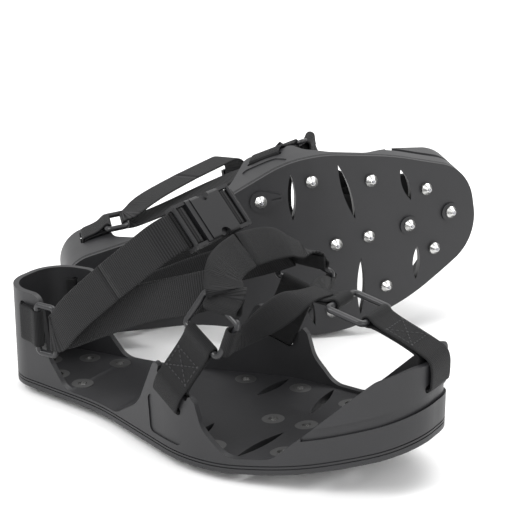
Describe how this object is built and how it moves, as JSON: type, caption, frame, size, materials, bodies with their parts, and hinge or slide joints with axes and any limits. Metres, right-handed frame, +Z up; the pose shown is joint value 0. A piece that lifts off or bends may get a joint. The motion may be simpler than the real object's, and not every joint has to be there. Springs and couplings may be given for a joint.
{
  "type": "shoe ice cleats",
  "caption": "Pair of strap-on ice cleats: rubber overshoe soles with screw-in steel studs, ears, heel cup and toe cap, held by webbing straps, rings and a side-release buckle",
  "frame": {"origin": "centre of the pair's bounding box in X and Y, on the ground", "axes": "+X towards the upright cleat's toe, +Z up, -Y towards its outer side"},
  "size_m": [0.3698, 0.3846, 0.1571],
  "materials": {
    "rubber": "matte moulded rubber with a smooth skin",
    "steel": "turned steel, lightly worn",
    "carbide": "ground carbide pin",
    "webbing": "woven polyester webbing with fine cross ribs",
    "ring": "black coated wire",
    "buckle": "moulded plastic with a fine grain"
  },
  "bodies": {
    "right_cleat": {"right_sole": "rubber", "right_stud_inserts": "steel", "right_stud_bodies": "steel", "right_stud_tips": "carbide", "right_outer_side_stub": "webbing", "right_inner_side_stub": "webbing", "right_toe_stub": "webbing", "right_outer_heel_tab": "webbing", "right_inner_heel_tab": "webbing", "right_front_loop": "webbing", "right_outer_front_strap": "webbing", "right_inner_front_strap": "webbing", "right_instep_strap": "webbing", "right_outer_heel_strap": "webbing", "right_inner_heel_strap": "webbing", "right_buckle_female": "buckle"},
    "right_outer_side_ring_body": {"right_outer_side_ring": "ring"},
    "right_inner_side_ring_body": {"right_inner_side_ring": "ring"},
    "right_toe_ring_body": {"right_toe_ring": "ring"},
    "right_outer_heel_ring_body": {"right_outer_heel_ring": "ring"},
    "right_inner_heel_ring_body": {"right_inner_heel_ring": "ring"},
    "right_buckle_plug": {"right_buckle_male": "buckle"},
    "right_prong_upper_body": {"right_buckle_prong_upper": "buckle"},
    "right_prong_lower_body": {"right_buckle_prong_lower": "buckle"},
    "left_cleat": {"left_sole": "rubber", "left_stud_inserts": "steel", "left_stud_bodies": "steel", "left_stud_tips": "carbide", "left_outer_side_stub": "webbing", "left_inner_side_stub": "webbing", "left_toe_stub": "webbing", "left_outer_heel_tab": "webbing", "left_inner_heel_tab": "webbing", "left_front_loop": "webbing", "left_outer_front_strap": "webbing", "left_inner_front_strap": "webbing", "left_instep_strap": "webbing", "left_outer_heel_strap": "webbing", "left_inner_heel_strap": "webbing", "left_buckle_female": "buckle"},
    "left_outer_side_ring_body": {"left_outer_side_ring": "ring"},
    "left_inner_side_ring_body": {"left_inner_side_ring": "ring"},
    "left_toe_ring_body": {"left_toe_ring": "ring"},
    "left_outer_heel_ring_body": {"left_outer_heel_ring": "ring"},
    "left_inner_heel_ring_body": {"left_inner_heel_ring": "ring"},
    "left_buckle_plug": {"left_buckle_male": "buckle"},
    "left_prong_upper_body": {"left_buckle_prong_upper": "buckle"},
    "left_prong_lower_body": {"left_buckle_prong_lower": "buckle"}
  },
  "joints": [
    {"name": "right_outer_side_ring_hinge", "type": "hinge", "parent": "right_cleat", "child": "right_outer_side_ring_body", "pos_m": [0.05121, -0.17762, 0.08586], "axis": [0.8723, -0.2715, -0.4067], "range_deg": [-8, 20], "deforming": ["right_instep_strap", "right_outer_front_strap"]},
    {"name": "right_inner_side_ring_hinge", "type": "hinge", "parent": "right_cleat", "child": "right_inner_side_ring_body", "pos_m": [0.05121, -0.06218, 0.08586], "axis": [-0.8723, -0.2715, 0.4067], "range_deg": [-8, 20], "deforming": ["right_inner_front_strap"]},
    {"name": "right_toe_ring_hinge", "type": "hinge", "parent": "right_cleat", "child": "right_toe_ring_body", "pos_m": [0.13997, -0.1199, 0.1011], "axis": [0, 1, 0], "range_deg": [-12, 20], "deforming": ["right_front_loop"]},
    {"name": "right_outer_heel_ring_hinge", "type": "hinge", "parent": "right_cleat", "child": "right_outer_heel_ring_body", "pos_m": [-0.09653, -0.15741, 0.0556], "axis": [0, 0, -1], "range_deg": [0, 30]},
    {"name": "right_inner_heel_ring_hinge", "type": "hinge", "parent": "right_cleat", "child": "right_inner_heel_ring_body", "pos_m": [-0.09653, -0.0824, 0.0556], "axis": [0, 0, 1], "range_deg": [0, 30], "deforming": ["right_inner_heel_strap"]},
    {"name": "right_buckle_release", "type": "slide", "parent": "right_cleat", "child": "right_buckle_plug", "axis": [0, -1, 0], "range_m": [0, 0.024], "deforming": ["right_outer_heel_strap", "right_buckle_prong_upper", "right_buckle_prong_lower"]},
    {"name": "right_prong_upper_squeeze", "type": "hinge", "parent": "right_buckle_plug", "child": "right_prong_upper_body", "pos_m": [0.01288, -0.1327, 0.14966], "axis": [-0.766, 0, -0.6428], "range_deg": [0, 5], "stiffness_Nm_per_rad": 0.1},
    {"name": "right_prong_lower_squeeze", "type": "hinge", "parent": "right_buckle_plug", "child": "right_prong_lower_body", "pos_m": [0.02406, -0.1327, 0.13634], "axis": [0.766, 0, 0.6428], "range_deg": [0, 5], "stiffness_Nm_per_rad": 0.1},
    {"name": "left_outer_side_ring_hinge", "type": "hinge", "parent": "left_cleat", "child": "left_outer_side_ring_body", "pos_m": [-0.059, 0.0975, 0.1295], "axis": [0.8782, 0.2434, 0.4117], "range_deg": [-8, 20], "deforming": ["left_instep_strap", "left_outer_front_strap"]},
    {"name": "left_inner_side_ring_hinge", "type": "hinge", "parent": "left_cleat", "child": "left_inner_side_ring_body", "pos_m": [-0.04484, 0.11025, 0.01564], "axis": [-0.9448, -0.3034, 0.1238], "range_deg": [-8, 20], "deforming": ["left_inner_front_strap"]},
    {"name": "left_toe_ring_hinge", "type": "hinge", "parent": "left_cleat", "child": "left_toe_ring_body", "pos_m": [0.00294, 0.17377, 0.08722], "axis": [0.1227, 0.1104, -0.9863], "range_deg": [-12, 20], "deforming": ["left_front_loop"]},
    {"name": "left_outer_heel_ring_hinge", "type": "hinge", "parent": "left_cleat", "child": "left_outer_heel_ring_body", "pos_m": [-0.14456, -0.02026, 0.08518], "axis": [0.6691, -0.7431, 0], "range_deg": [0, 30]},
    {"name": "left_inner_heel_ring_hinge", "type": "hinge", "parent": "left_cleat", "child": "left_inner_heel_ring_body", "pos_m": [-0.13536, -0.01198, 0.0112], "axis": [-0.6691, 0.7431, 0], "range_deg": [0, 30], "deforming": ["left_inner_heel_strap"]},
    {"name": "left_buckle_release", "type": "slide", "parent": "left_cleat", "child": "left_buckle_plug", "axis": [-0.1227, -0.1104, 0.9863], "range_m": [0, 0.024], "deforming": ["left_outer_heel_strap", "left_buckle_prong_upper", "left_buckle_prong_lower"]},
    {"name": "left_prong_upper_squeeze", "type": "hinge", "parent": "left_buckle_plug", "child": "left_prong_upper_body", "pos_m": [-0.12428, 0.12458, 0.07887], "axis": [-0.1314, -0.9832, -0.1264], "range_deg": [0, 5], "stiffness_Nm_per_rad": 0.1},
    {"name": "left_prong_lower_squeeze", "type": "hinge", "parent": "left_buckle_plug", "child": "left_prong_lower_body", "pos_m": [-0.10716, 0.12205, 0.08071], "axis": [0.1314, 0.9832, 0.1264], "range_deg": [0, 5], "stiffness_Nm_per_rad": 0.1},
    {"name": "pair_lift", "type": "slide", "parent": "right_cleat", "child": "left_cleat", "axis": [0, 0, 1], "range_m": [0, 0.1]}
  ],
  "couplings": [
    {"joint": "right_prong_lower_squeeze", "follows": "right_prong_upper_squeeze", "ratio": 1},
    {"joint": "left_prong_lower_squeeze", "follows": "left_prong_upper_squeeze", "ratio": 1}
  ]
}
